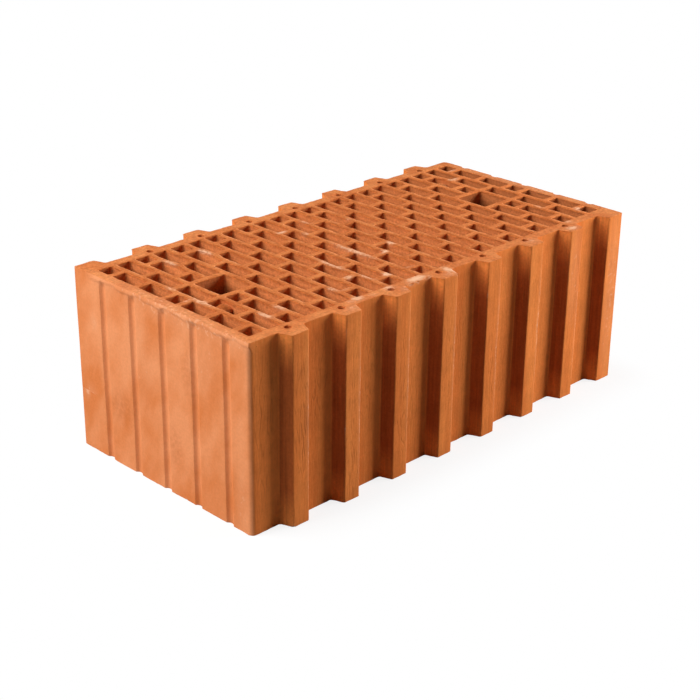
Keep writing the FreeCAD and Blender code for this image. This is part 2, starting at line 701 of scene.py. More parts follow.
@dataclass(frozen=True)
class WireBurrs:
    """Small burrs on the web edges that the cutting wire came out of, on its way to the near end.

    Attributes:
        layout: The block's reference lines.
        reach_mm: How far the longest stand out over a slot.
        waves_mm: Lengths of the waves that make them uneven along an edge.
        depth_mm: How far below the upper bed they reach.
        end_skin_mm: How far in from the end faces they start.
        least_facing: How squarely a wall faces the near end to have them.
    """

    layout: Layout
    reach_mm: float = 0.9
    waves_mm: Triple = (31.0, 13.0, 7.0)
    depth_mm: float = 1.0
    end_skin_mm: float = 6.0
    least_facing: float = 0.9

    def build(self, body: Piece) -> None:
        """Drags the burrs out of the webs.

        Args:
            body: The block.
        """
        points = mesh_points(body)
        facing = np.zeros(len(points), dtype=bool)
        for face in body.data.polygons:
            if face.normal.x < -self.least_facing:
                facing[list(face.vertices)] = True
        at_rim = points[:, 2] > self.layout.high.z - self.depth_mm
        inside = np.abs(points[:, 0]) < self.layout.high.x - self.end_skin_mm
        uneven = np.zeros(len(points))
        for length in self.waves_mm:
            uneven += np.sin(points[:, 1] * 2.0 * math.pi / length + points[:, 0] * length)
        share = np.clip(0.5 + uneven / len(self.waves_mm), 0.0, 1.0) * (facing & at_rim & inside)
        push(body, "wire_burrs", Way.ALONG, -self.reach_mm * share)
        log.info("wire_burrs: %d points dragged", np.count_nonzero(share))


@dataclass(frozen=True)
class Smear:
    """A web that the cutting wire dragged aside while the clay was soft.

    Attributes:
        middle: Its middle on the upper bed, in millimetres.
        shift: How far the clay moved there.
        reach_mm: How far from there clay moved at all.
        core_share: Share of that reach that moved as one.
    """

    middle: Triple
    shift: Triple
    reach_mm: float
    core_share: float = 0.4

    def drag(self, body: Piece) -> None:
        """Moves the web, less and less towards its ends.

        Args:
            body: The block, in edit mode.
        """
        middle = Vector(self.middle) * MM
        core = self.core_share * self.reach_mm * MM
        pick(body, Kind.VERT, lambda point: (point.co - middle).length < core)
        bpy.ops.transform.translate(
            value=Vector(self.shift) * MM,
            use_proportional_edit=True,
            proportional_edit_falloff="SMOOTH",
            proportional_size=self.reach_mm * MM,
        )


@dataclass(frozen=True)
class Mark:
    """A soft spot of colour on the block.

    Attributes:
        middle: Its middle, in millimetres.
        reach: Its half sizes, in millimetres.
        strength: How strong it is in its middle, from 0 to 1.
    """

    middle: Triple
    reach: Triple
    strength: float = 1.0


def marked(points: np.ndarray, marks: Iterable[Mark]) -> np.ndarray:
    """How strongly each point is marked.

    Args:
        points: Points in millimetres.
        marks: The spots.

    Returns:
        The strongest mark at each point, from 0 to 1.
    """
    strength = np.zeros(len(points))
    for mark in marks:
        away = np.square((points - np.array(mark.middle)) / np.array(mark.reach)).sum(axis=1)
        strength = np.maximum(strength, mark.strength * np.clip(1.0 - away, 0.0, 1.0))
    return strength


@dataclass(frozen=True)
class Damage:
    """What pressing, cutting and handling did to the block.

    Attributes:
        layout: The block's reference lines.
        seed: Start of the random draws for the nicks.
        rim_nicks: How many small nicks the two outer rims have.
        edge_nicks: How many the upright edges of the front tongues have.
        nick_mm: Least and greatest half size of a nick in a rim.
        rim_nick_length: Least and greatest length of a nick in a rim, in its widths.
        edge_nick_length: The same for an upright edge.
        edge_nick_share: Size of a nick in an upright edge, as a share of one in a rim.
        clear_mm: How far from the beds those start.
        skin_mm: How far in from the outside, and from the beds, a rim is looked for.
        scar_share: Half size of the chalky mark of a broken place, as a share of the place's.
        scar_strength: How strong that mark is.
    """

    layout: Layout
    seed: int = 11
    rim_nicks: int = 16
    edge_nicks: int = 8
    nick_mm: Pair = (0.6, 1.3)
    rim_nick_length: Pair = (1.0, 2.4)
    edge_nick_length: Pair = (1.2, 4.0)
    edge_nick_share: float = 0.8
    clear_mm: float = 10.0
    skin_mm: Pair = (0.8, 1.0)
    scar_share: float = 1.6
    scar_strength: float = 0.7

    def build(self, body: Piece) -> list[Mark]:
        """Works all of it into the block.

        Args:
            body: The block.

        Returns:
            Chalky marks where clay broke away.
        """
        select_only(body)
        bpy.ops.object.mode_set(mode="EDIT")
        for smear in self.smears():
            smear.drag(body)
        bpy.ops.object.mode_set(mode="OBJECT")
        self.plugs().work_into(body)
        marks = []
        for broken in (self.chips(), self.nicks(mesh_points(body))):
            broken.work_into(body)
            for lump in broken.lumps:
                reach = tuple(self.scar_share * size for size in lump.reach)
                marks.append(Mark(lump.middle, reach, self.scar_strength))
        return marks

    def smears(self) -> list[Smear]:
        """Webs that were dragged aside."""
        bed = self.layout.on_bed
        return [
            Smear(bed(73, 188), (2.6, 0.0, -0.3), 15.0),
            Smear(bed(116, 189), (3.0, 0.0, -0.2), 15.0),
            Smear(bed(277, 169), (0.0, -2.4, 0.3), 12.0),
            Smear(bed(460, 188), (1.8, 0.0, -0.3), 13.0),
            Smear(bed(243, 77), (1.6, -1.2, 0.0), 9.0),
            Smear(bed(223, 112), (1.2, 0.0, -0.4), 10.0),
            Smear(bed(180, 84), (-1.3, 0.0, 0.0), 11.0),
        ]

    def plugs(self) -> LumpSet:
        """Clay that fell into two slots and was fired there."""
        near, far = (Vector(self.layout.on_bed(*place)) for place in ((46, 85), (449, 188)))
        lumps = (
            Lump(tuple(near - Vector((0.0, 0.0, 7.5))), (7.5, 9.0, 4.5), (0.0, 14.0, 12.0)),
            Lump(tuple(far - Vector((0.0, 0.0, 10.5))), (10.5, 15.0, 7.5), (8.0, 0.0, -6.0)),
        )
        return LumpSet("clay_plugs", Change.ADD, lumps, Roughening("plug_lumps", 5.0, 2.2, Way.OUT, 2))

    def chips(self) -> LumpSet:
        """Places where pieces of the edges broke away, a crack in a web and a scratch."""
        bed = self.layout.on_bed
        tip = self.layout.on_tip
        edge = self.layout.half_tip
        lumps = (
            Lump(bed(199, 0.2), (4.5, 1.5, 2.0)),
            Lump(bed(208, 0), (3.0, 1.2, 1.4)),
            Lump(bed(221, 0.2), (5.0, 1.4, 1.6)),
            Lump(bed(252, -12.6), (2.4, 1.4, 1.5)),
            Lump(bed(223.5, 123.5), (4.2, 0.5, 2.2), (0.0, 0.0, 12.0)),
            Lump(tip(6, edge, 96), (1.5, 1.3, 13.0)),
            Lump(tip(6, edge, 74), (1.2, 1.1, 5.0)),
            Lump(tip(6, edge, 118), (1.1, 1.0, 6.0)),
            Lump(tip(5, edge, 87), (1.7, 1.5, 7.0)),
            Lump(tip(7, edge, 132), (1.2, 1.2, 6.0)),
            Lump(tip(3, edge, 58), (1.2, 1.1, 4.0)),
            Lump(self.layout.on_end(237, 62), (0.5, 12.5, 0.7), (9.0, 0.0, 0.0)),
        )
        return LumpSet("chips", Change.BREAK_AWAY, lumps, Roughening("chip_grain", 2.2, 0.9, Way.OUT, 2))

    def nicks(self, points: np.ndarray) -> LumpSet:
        """Small nicks, drawn at random along the outer rims and the tongues' upright edges.

        Args:
            points: The block's points, in millimetres.

        Returns:
            The nicks.
        """
        draw = random.Random(self.seed)
        low, high = self.layout.low, self.layout.high
        skin, rim_depth = self.skin_mm
        at_end = np.abs(points[:, 0]) > high.x - skin
        at_side = np.abs(points[:, 1]) > high.y - skin
        rim = points[(self.layout.bed_depth(points) < rim_depth) & (at_end | at_side)]
        lumps = []
        for _ in range(self.rim_nicks):
            place = rim[draw.randrange(len(rim))]
            size = draw.uniform(*self.nick_mm)
            long = size * draw.uniform(*self.rim_nick_length)
            along_end = abs(place[0]) > high.x - skin
            reach = (size, long, size) if along_end else (long, size, size)
            lumps.append(Lump(tuple(float(value) for value in place), reach))
        for _ in range(self.edge_nicks):
            tongue = draw.randrange(1, self.layout.tongues)
            aside = draw.choice((-1.0, 1.0)) * self.layout.half_tip
            size = draw.uniform(*self.nick_mm) * self.edge_nick_share
            up = draw.uniform(low.z + self.clear_mm, high.z - self.clear_mm)
            long = size * draw.uniform(*self.edge_nick_length)
            lumps.append(Lump(self.layout.on_tip(tongue, aside, up), (size, size, long)))
        grain = Roughening("nick_grain", 1.6, 0.6, Way.OUT, 2)
        return LumpSet("nicks", Change.BREAK_AWAY, tuple(lumps), grain, 2)


@dataclass(frozen=True)
class SurfaceMarks:
    """Scuffs, stains, drag tears and painted highlight lines, stored on the mesh for the finish to read.

    Attributes:
        layout: The block's reference lines.
        bed_reach_mm: How deep a mark on the bed reaches down the walls.
        wall_reach_mm: How deep a mark on a wall reaches into the clay.
        slot_depth_mm: Depths below a bed where the slot walls' colour starts and is full.
        slot_skin_mm: How far in from the end faces and from the tongue tips the slots lie.
        hole_mm: Half width of a firing hole, and how far in from the tongue tips it lies.
        highlight_reach_mm: Half sizes of the painted highlight line along a tongue's edge.
        highlight_strength: How strong that line is.
    """

    layout: Layout
    bed_reach_mm: float = 3.0
    wall_reach_mm: float = 4.0
    slot_depth_mm: Pair = (0.5, 1.2)
    slot_skin_mm: Pair = (4.5, 16.0)
    hole_mm: Pair = (5.0, 8.0)
    highlight_reach_mm: Triple = (2.0, 1.2, 115.0)
    highlight_strength: float = 0.55

    def paint(self, body: Piece, broken: list[Mark]) -> None:
        """Stores all marks.

        Args:
            body: The block.
            broken: Marks of broken edges.
        """
        points = mesh_points(body)
        # The first layer also holds painted highlight lines along the tongues' upright edges.
        rubbed_and_highlit = self.scuffs() + self.wall_scuffs() + self.painted_edge_highlights() + broken
        colours = np.zeros((len(points), len(Layer)), dtype=np.float32)
        colours[:, Layer.CHALK.value] = marked(points, rubbed_and_highlit)
        colours[:, Layer.STAIN.value] = marked(points, self.stains())
        colours[:, Layer.SLOT_WALL.value] = self.slot_walls(points)
        colours[:, Layer.TEAR.value] = marked(points, self.tears())
        layer = body.data.attributes.new(MARKS, "FLOAT_COLOR", "POINT")
        layer.data.foreach_set("color", colours.ravel())

    def on_bed(
        self, along: float, across: float, half_along: float, half_across: float, strength: float
    ) -> Mark:
        """A mark on the upper bed, placed from the near end face and the floor of the front grooves."""
        return Mark(self.layout.on_bed(along, across), (half_along, half_across, self.bed_reach_mm), strength)

    def scuffs(self) -> list[Mark]:
        """Rubbed, chalky places on the upper bed."""
        bed = self.on_bed
        return [
            bed(137, 9, 10, 7, 0.9),
            bed(127, 8, 6, 5, 0.6),
            bed(153, 5, 6, 5, 0.5),
            bed(176, 7, 9, 7, 0.7),
            bed(186, -5, 10, 8, 0.45),
            bed(118, -5, 13, 8, 0.45),
            bed(212, 6, 17, 8, 1.0),
            bed(251, 0, 6, 14, 0.95),
            bed(244, -8, 10, 6, 0.6),
            bed(30, 98, 5, 20, 0.8),
            bed(22, 110, 7, 5, 0.6),
            bed(30, 142, 5, 9, 0.6),
            bed(51, 36, 5, 14, 0.8),
            bed(72, 40, 5, 12, 0.7),
            bed(180, 86, 5, 26, 0.8),
            bed(222, 98, 5, 40, 0.8),
            bed(182, 40, 5, 13, 0.8),
            bed(200, 33, 7, 7, 1.0),
            bed(169, 52, 8, 5, 0.8),
            bed(137, 40, 5, 10, 0.7),
            bed(145, 33, 7, 5, 0.6),
            bed(230, 34, 7, 6, 0.6),
            bed(242, 77, 8, 6, 0.9),
            bed(207, 186, 9, 5, 1.0),
            bed(222, 167, 5, 6, 0.7),
            bed(115, 195, 6, 14, 0.8),
            bed(71, 195, 6, 14, 0.7),
            bed(277, 169, 13, 6, 0.9),
            bed(266, 90, 6, 7, 0.9),
            bed(432, -6, 10, 7, 0.9),
            bed(445, 9, 8, 6, 0.6),
            bed(370, -1, 10, 8, 0.5),
            bed(486, 26, 7, 9, 0.9),
            bed(462, 60, 6, 9, 0.6),
            bed(467, 186, 10, 6, 0.9),
            bed(490, 209, 11, 5, 0.7),
            bed(246, 192, 6, 9, 0.6),
            bed(5, 118, 8, 125, 0.35),
            bed(505, 118, 8, 125, 0.35),
        ]

    def wall_scuffs(self) -> list[Mark]:
        """Rubbed places on the near end face and the far tongues, and the paler lip on top of that face."""
        end = self.layout.on_end
        tip = self.layout.on_tip
        deep = self.wall_reach_mm
        return [
            Mark(end(14, 35), (deep, 12, 34), 0.35),
            Mark(end(222, 134), (deep, 7, 8), 0.7),
            Mark(end(60, 150), (deep, 26, 40), 0.25),
            Mark(end(150, 120), (deep, 24, 60), 0.25),
            Mark(end(90, self.layout.high.z), (deep, 150, 20), 0.42),
            Mark(tip(8, 3, 94), (13, deep, 125), 0.36),
            Mark(tip(7, 0, 140), (11, deep, 70), 0.3),
            Mark(tip(6, self.layout.half_tip, 96), (2.6, 1.2, 26), 1.0),
        ]

    def painted_edge_highlights(self) -> list[Mark]:
        """Painted highlights: pale lines along upright edges of the tongues' tips, on both long sides."""
        marks = []
        for tongue in range(1, self.layout.tongues):
            x, y, z = self.layout.on_tip(tongue, self.layout.half_tip, self.layout.high.z / 2)
            marks += [Mark((way * x, way * y, z), self.highlight_reach_mm, self.highlight_strength) for way in (1.0, -1.0)]
        return marks

    def stains(self) -> list[Mark]:
        """Darker, redder smears."""
        end = self.layout.on_end
        tip = self.layout.on_tip
        floor = self.layout.on_floor
        deep = self.wall_reach_mm
        return [
            Mark(end(82, 130), (deep, 13, 26), 0.32),
            Mark(end(107, 50), (deep, 13, 24), 0.32),
            Mark(end(185, 62), (deep, 22, 20), 0.32),
            Mark(tip(1, 7, 100), (4, deep, 36), 0.7),
            Mark(tip(2, -11, 60), (6, 12, 45), 0.6),
            Mark(floor(96, 60), (6, deep, 40), 0.5),
            Mark(floor(32, 18), (6, deep, 14), 0.6),
            Mark(self.layout.on_bed(46, 85), (9, 11, 14), 1.0),
            Mark(self.layout.on_bed(449, 188), (11, 18, 14), 0.5),
        ]

    def tears(self) -> list[Mark]:
        """Drag tears that the die left in the front, like the figure of wood."""
        tip = self.layout.on_tip
        floor = self.layout.on_floor
        deep = self.wall_reach_mm
        return [
            Mark(tip(1, 0, 105), (14, deep, 80), 0.8),
            Mark(floor(16, 100), (18, deep, 95), 0.65),
            Mark(tip(2, 0, 115), (13, deep, 70), 0.6),
            Mark(floor(80, 130), (20, deep, 60), 0.7),
            Mark(floor(144, 110), (20, deep, 80), 0.5),
            Mark(tip(2, 0, 30), (13, deep, 50), 0.6),
            Mark(tip(3, 0, 70), (12, deep, 90), 0.6),
            Mark(tip(4, 0, 95), (12, deep, 90), 0.5),
            Mark(tip(5, 0, 60), (12, deep, 80), 0.45),
            Mark(tip(6, 0, 120), (12, deep, 70), 0.4),
            Mark(floor(208, 80), (20, deep, 80), 0.45),
            Mark(floor(272, 100), (20, deep, 80), 0.4),
            Mark(floor(336, 70), (20, deep, 70), 0.35),
        ]

    def slot_walls(self, points: np.ndarray) -> np.ndarray:
        """How far each point is on the wall of a slot or hole, and below the beds.

        Args:
            points: Points in millimetres.

        Returns:
            A share from 0 to 1 for each.
        """
        high = self.layout.high
        end_skin, side_skin = self.slot_skin_mm
        hole_half, hole_skin = self.hole_mm
        inward = high.y - np.abs(points[:, 1])
        inside = (np.abs(points[:, 0]) < high.x - end_skin) & (inward > side_skin)
        in_hole = (self.layout.off_tongue(points) < hole_half) & (inward > hole_skin)
        return (inside | in_hole) * smooth_step(*self.slot_depth_mm, self.layout.bed_depth(points))


class Pattern(Enum):
    """Patterns in the clay: size in millimetres, finer layers, stretch along each axis, tilt in degrees."""

    GRAIN = (2.4, 4.0, (1.0, 1.0, 1.0), 0.0)
    CRUMBS = (4.0, 6.0, (1.0, 1.0, 1.0), 0.0)
    PATCHES = (4.0, 7.0, (1.0, 1.0, 1.0), 0.0)
    CLOUDS = (18.0, 5.0, (1.0, 1.0, 1.0), 0.0)
    GAPS = (14.0, 2.0, (1.0, 1.0, 1.0), 0.0)
    STROKES = (34.0, 3.0, (1.0, 1.0, 1.8), 24.0)
    STREAKS = (2.6, 3.0, (1.0, 1.0, 40.0), 0.0)
    FLECKS = (1.5, 3.0, (1.0, 1.0, 8.0), 0.0)
    BANDS = (14.0, 3.0, (1.0, 1.0, 14.0), 0.0)
    LINES = (1.6, 3.0, (12.0, 12.0, 1.0), 0.0)
    FIGURE = (9.0, 2.0, (1.0, 1.0, 6.0), 0.0)


@dataclass(frozen=True)
class Places:
    """Node outputs that say where on the block a point is, each a share from 0 to 1 unless it says otherwise.

    Attributes:
        tree: The node tree that they are in.
        point: Object coordinates, in metres.
        noise: The patterns.
        along: Place along the block, in metres.
        depth: Distance below the nearer bed, in metres.
        bed: The two beds.
        lattice: The webs of the beds, inside their outer border.
        far_rim: Rims of the webs that slope towards the far end.
        near_rim: Rims of the webs that slope towards the near end.
        end: The two end faces.
        slot: The walls of slots and holes.
        side: The two long sides.
        flank: The sloping flanks of their tongues.
    """

    tree: Tree
    point: Socket
    noise: dict[Pattern, Socket]
    along: Socket
    depth: Socket
    bed: Socket
    lattice: Socket
    far_rim: Socket
    near_rim: Socket
    end: Socket
    slot: Socket
    side: Socket
    flank: Socket


@dataclass(frozen=True)
class FiredClay:
    """Fired brick clay, pressed through a die, cut off by wire and left unglazed.

    It is matte and dusty. The end faces are smooth and pale, the long sides are streaked upright and torn
    by the die, the cut beds are grainy, and worn places are chalky. Painted shade darkens the tongues' flanks
    lower down, the slot walls under their rims, deep down and towards the far end, and the web rims that face
    the near end. Painted highlights lighten the web rims that face the far end and the tongues' upright
    edges, and painted light lightens the webs towards the far end.

    Attributes:
        layout: The block's reference lines.
        end_warm: Darker strokes of the end faces.
        end_pale: Paler strokes of the end faces.
        side_deep: Darker bands of the long sides.
        side: Paler bands of the long sides.
        flank: Painted shade of the tongues' flanks, below their rims, where the block shades them.
        cut_deep: Darker clouds of the beds' outer border.
        cut: Paler clouds of that border.
        web_deep: Darker clouds of the webs.
        web: Paler clouds of the webs.
        painted_shade_web_edge: Painted shade on the web edges that the wire came out of, a dark line under
            their burrs.
        painted_highlight_deep: Darker clouds of the painted highlight on the edges that the wire went in by.
        painted_highlight: Paler clouds of that painted highlight.
        painted_shade_slot_rim: Painted shade on the slot walls just under their rims.
        slot: Slot walls further down.
        painted_shade_slot_deep: Painted shade on the slot walls deep down.
        chalk_and_highlight: Worn and broken places, and the painted highlight lines along the tongues' edges.
        stain: Smears and fallen clay; also clouded into the painted shade on the web rims that face the near
            end.
        tear: Bottom of the drag tears.
        speck: Dark grains of sand and iron.
        speck_spacing_mm: Spacing of the places where a grain may lie.
        speck_rarity: Share of those places that stay empty.
        speck_size: Greatest half size of a grain, and its soft edge, as shares of that spacing.
        speck_share: How strongly a grain colours the clay.
        gloss: Specular level, low because the surface is porous.
        roughness: Least and greatest roughness.
        clouding: Values of a pattern between which one colour turns to the other.
        swinging: Values of a pattern between which it lightens or darkens.
        bed_facing: How far up or down a bed faces, from where it starts to where it is full.
        end_facing: How far endways an end face faces, in the same way.
        flank_facing: How far endways a flank faces.
        rim_facing: How far endways a web's rim faces.
        end_skin_mm: Distances in from an end face where its colour ends and is full.
        border_mm: Width of the beds' outer border, from the groove floors and the end faces.
        border_blur_mm: How far to either side of that the border's colour turns to the webs'.
        rim_painted_shade_mm: Depths between which the slot walls turn from the painted shade under the rim to
            their own colour.
        flank_painted_shade_mm: Depths between which the flanks turn from the side's colour to their painted
            shade.
        deep_painted_shade_mm: Depths between which the slot walls turn to their deep painted shade.
        slot_far_painted_shade: Where the slot walls start to darken towards the far end as painted shade, in
            half lengths, and their tone there.
        web_far_painted_light: The same for the webs, which lighten there as painted light.
        tear_rings: How many rings the figure of the tears has.
        tear_line: Values of a ring between which a tear deepens.
        tear_gaps: Values of the gaps between which tears start.
        tear_share: How strongly a tear colours the clay.
        tear_mm: How deep a tear is.
        raggedness: How strongly patches break up stains and chalk.
        dust: Share of a stain or of chalk that isn't broken up.
        stain_range: Where broken-up stains start and are full, and how strong they are then.
        chalk_and_highlight_range: The same for worn places and painted highlight lines.
    """

    layout: Layout
    end_warm: str = "#D87D46"
    end_pale: str = "#E79462"
    side_deep: str = "#DB7838"
    side: str = "#E68541"
    flank: str = "#AE5A2B"
    cut_deep: str = "#CC733F"
    cut: str = "#DA864E"
    web_deep: str = "#C26A37"
    web: str = "#D37D46"
    painted_shade_web_edge: str = "#A25226"
    painted_highlight_deep: str = "#E08950"
    painted_highlight: str = "#F0A06A"
    painted_shade_slot_rim: str = "#CA723E"
    slot: str = "#D47C47"
    painted_shade_slot_deep: str = "#8A4721"
    chalk_and_highlight: str = "#F3C09A"
    stain: str = "#B05C2C"
    tear: str = "#9C5122"
    speck: str = "#6E3517"
    speck_spacing_mm: float = 6.5
    speck_rarity: float = 0.85
    speck_size: Pair = (0.09, 0.05)
    speck_share: float = 0.7
    gloss: float = 0.08
    roughness: Pair = (0.82, 0.97)
    clouding: Pair = (0.36, 0.64)
    swinging: Pair = (0.3, 0.7)
    bed_facing: Pair = (0.5, 0.8)
    end_facing: Pair = (0.3, 0.7)
    flank_facing: Pair = (0.4, 0.75)
    rim_facing: Pair = (0.06, 0.2)
    end_skin_mm: Pair = (4.8, 4.0)
    border_mm: float = 10.0
    border_blur_mm: float = 1.5
    rim_painted_shade_mm: Pair = (1.2, 4.4)
    flank_painted_shade_mm: Pair = (5.0, 36.0)
    deep_painted_shade_mm: Pair = (8.0, 20.0)
    slot_far_painted_shade: Pair = (0.25, 0.7)
    web_far_painted_light: Pair = (0.2, 1.16)
    tear_rings: float = 13.0
    tear_line: Pair = (0.42, 0.04)
    tear_gaps: Pair = (0.34, 0.54)
    tear_share: float = 0.55
    tear_mm: float = 0.3
    raggedness: float = 1.3
    dust: float = 0.3
    stain_range: Triple = (0.6, 1.6, 0.6)
    chalk_and_highlight_range: Triple = (1.0, 1.45, 0.9)

    def material(self) -> bpy.types.Material:
        """Makes the material.

        Returns:
            The material, which reads object coordinates and the marks of the mesh.
        """
        made = bpy.data.materials.new("fired_brick_clay")
        tree = empty_tree(made)
        marks = add_node(tree, "Attribute", out="Color", attribute_name=MARKS)
        layers = add_node(tree, "SeparateColor", {0: marks}).node.outputs
        at = self.places(tree, layers["Blue"])
        tears = self.tears(at, marks.node.outputs["Alpha"])
        worn = self.wear(at, self.vary(at, self.ground(at)), layers, tears)
        bump = add_node(tree, "Bump", {"Height": self.relief(at, tears), "Distance": MM})
        least, most = self.swinging
        smooth, rough = self.roughness
        inputs = {0: at.noise[Pattern.GRAIN], 1: least, 2: most, 3: rough, 4: smooth}
        roughness = add_node(tree, "MapRange", inputs)
        inputs = {"Base Color": worn, "Roughness": roughness, "Normal": bump}
        inputs["Specular IOR Level"] = self.gloss
        shader = add_node(tree, "BsdfPrincipled", inputs)
        add_node(tree, "OutputMaterial", {"Surface": shader})
        return made

    def places(self, tree: Tree, slot: Socket) -> Places:
        """Works out where on the block a point is.

        Args:
            tree: The node tree.
            slot: Share of the slot walls.

        Returns:
            The places and the patterns.
        """
        point = add_node(tree, "TexCoord", out="Object")
        noise = {}
        for pattern in Pattern:
            size_mm, detail, stretch, tilt_deg = pattern.value
            turn = (math.radians(tilt_deg), 0.0, 0.0)
            inputs = {"Vector": point, "Rotation": turn, "Scale": stretch}
            mapped = add_node(tree, "Mapping", inputs, vector_type="TEXTURE")
            inputs = {"Vector": mapped, "Scale": per_metre(size_mm), "Detail": detail}
            noise[pattern] = add_node(tree, "TexNoise", inputs)
        facing = add_node(tree, "SeparateXYZ", {0: point.node.outputs["Normal"]}).node.outputs
        place = add_node(tree, "SeparateXYZ", {0: point}).node.outputs
        middle = self.layout.high.z * MM / 2
        above = add_node(tree, "Math", {0: place["Z"], 1: middle}, operation="SUBTRACT")
        level, endways, along, across, away = (
            add_node(tree, "Math", {0: value}, operation="ABSOLUTE")
            for value in (facing["Z"], facing["X"], place["X"], place["Y"], above)
        )
        depth = add_node(tree, "Math", {0: middle, 1: away}, operation="SUBTRACT")
        end_x, inner_y = self.layout.high.x, self.layout.high.y - self.layout.tongue_depth - self.border_mm
        limits = (
            (level, self.bed_facing, 1.0),
            (along, [end_x - skin for skin in self.end_skin_mm], MM),
            (endways, self.end_facing, 1.0),
            (endways, self.flank_facing, 1.0),
            (along, [end_x - self.border_mm + way * self.border_blur_mm for way in (1, -1)], MM),
            (across, [inner_y + way * self.border_blur_mm for way in (1, -1)], MM),
            (facing["X"], self.rim_facing, 1.0),
            (facing["X"], self.rim_facing, -1.0),
        )
        bed, outer, square, sloping, inside_x, inside_y, far_turned, near_turned = (
            add_node(tree, "MapRange", {0: value, 1: least * unit, 2: most * unit})
            for value, (least, most), unit in limits
        )
        taken = end = add_node(tree, "Math", {0: outer, 1: square}, operation="MULTIPLY")
        for other in (slot, bed):
            taken = add_node(tree, "Math", {0: taken, 1: other}, operation="MAXIMUM")
        side = add_node(tree, "Math", {0: 1.0, 1: taken}, operation="SUBTRACT")
        inside = add_node(tree, "Math", {0: inside_x, 1: inside_y}, operation="MULTIPLY")
        lattice = add_node(tree, "Math", {0: bed, 1: inside}, operation="MULTIPLY")
        far_rim, near_rim, flank = (
            add_node(tree, "Math", {0: share, 1: whole}, operation="MULTIPLY")
            for share, whole in ((far_turned, lattice), (near_turned, lattice), (sloping, side))
        )
        return Places(
            tree, point, noise, place["X"], depth, bed, lattice, far_rim, near_rim, end, slot, side, flank
        )

    def tears(self, at: Places, share: Socket) -> Socket:
        """Thin wavy lines like the figure of wood, where the skin tore in the die.

        Args:
            at: The places and patterns.
            share: Where there are tears.

        Returns:
            How deep the tear is, from 0 to 1.
        """
        tree = at.tree
        inputs = {0: at.noise[Pattern.FIGURE], 1: self.tear_rings}
        rings = add_node(tree, "Math", inputs, operation="MULTIPLY")
        wave = add_node(tree, "Math", {0: rings, 1: 1.0}, operation="PINGPONG")
        depth = share
        for value, (least, most) in ((wave, self.tear_line), (at.noise[Pattern.GAPS], self.tear_gaps)):
            kept = add_node(tree, "MapRange", {0: value, 1: least, 2: most})
            depth = add_node(tree, "Math", {0: kept, 1: depth}, operation="MULTIPLY")
        return depth

    def ground(self, at: Places) -> Socket:
        """Clouded colours of the long sides, the end faces, the slot walls and the beds, with painted shade
        and highlights.

        Args:
            at: The places and patterns.

        Returns:
            The colour.
        """
        tree = at.tree
        shades = (self.rim_painted_shade_mm, self.flank_painted_shade_mm, self.deep_painted_shade_mm)
        rim, flank, (sunk, deep) = ([depth * MM for depth in shade] for shade in shades)
        # Painted shade: the slot walls darken deep down in the slots.
        inside = add_node(tree, "MapRange", {0: at.depth, 1: sunk, 2: deep})
        deep_slot_painted_shade = add_node(tree, "Math", {0: inside, 1: at.slot}, operation="MULTIPLY")
        bands, strokes = at.noise[Pattern.BANDS], at.noise[Pattern.STROKES]
        clouds, turn = at.noise[Pattern.CLOUDS], self.clouding
        coats = (
            (1.0, bands, turn, self.side_deep, self.side),
            (at.end, strokes, turn, self.end_warm, self.end_pale),
            # Painted shade: the tongues' flanks darken with depth below the bed, where the block shades them.
            (at.flank, at.depth, flank, self.side, self.flank),
            # Painted shade: the slot walls are darker just under their rims.
            (at.slot, at.depth, rim, self.painted_shade_slot_rim, self.slot),
            (deep_slot_painted_shade, clouds, turn, self.painted_shade_slot_deep, self.painted_shade_slot_deep),
            (at.bed, clouds, turn, self.cut_deep, self.cut),
            (at.lattice, clouds, turn, self.web_deep, self.web),
            # Painted shade: the web rims that face the near end are darkened, with the stain colour clouded
            # in.
            (at.near_rim, clouds, turn, self.painted_shade_web_edge, self.stain),
            # Painted highlight: the web rims that face the far end are paler.
            (at.far_rim, clouds, turn, self.painted_highlight_deep, self.painted_highlight),
        )
        colour = linear(self.side)
        for share, value, (least, most), first, last in coats:
            tone = add_node(tree, "MapRange", {0: value, 1: least, 2: most})
            coat = add_node(tree, "Mix", {0: tone, 6: linear(first), 7: linear(last)}, 2, data_type="RGBA")
            colour = add_node(tree, "Mix", {0: share, 6: colour, 7: coat}, 2, data_type="RGBA")
        return colour

    def vary(self, at: Places, colour: Socket) -> Socket:
        """Lightens and darkens the colour by the patterns of each place, with painted shade on the slot walls
        and painted light on the webs towards the far end.

        Args:
            at: The places and patterns.
            colour: The colour.

        Returns:
            The varied colour.
        """
        swings = (
            (1.0, Pattern.GRAIN, 0.04),
            (at.bed, Pattern.CRUMBS, 0.12),
            (at.bed, Pattern.GRAIN, 0.1),
            (at.side, Pattern.STREAKS, 0.035),
            (at.side, Pattern.FLECKS, 0.06),
            (at.side, Pattern.CLOUDS, 0.07),
            (at.flank, Pattern.GRAIN, 0.05),
            (at.flank, Pattern.STREAKS, 0.12),
            (at.slot, Pattern.LINES, 0.1),
            (at.slot, Pattern.GRAIN, 0.12),
        )
        tones = [
            (share, at.noise[pattern], self.swinging, (1.0 - swing, 1.0 + swing))
            for share, pattern, swing in swings
        ]
        end_x = self.layout.high.x * MM
        # Painted shade and light: slot walls darken and webs lighten towards the far end.
        for share, (start, tone) in ((at.slot, self.slot_far_painted_shade), (at.lattice, self.web_far_painted_light)):
            tones.append((share, at.along, (start * end_x, end_x), (1.0, tone)))
        value = 1.0
        for share, source, (least, most), (first, last) in tones:
            inputs = {0: source, 1: least, 2: most, 3: first, 4: last}
            tone = add_node(at.tree, "MapRange", inputs)
            kept = add_node(at.tree, "Mix", {0: share, 2: 1.0, 3: tone})
            value = add_node(at.tree, "Math", {0: value, 1: kept}, operation="MULTIPLY")
        return add_node(at.tree, "HueSaturation", {"Value": value, "Color": colour})

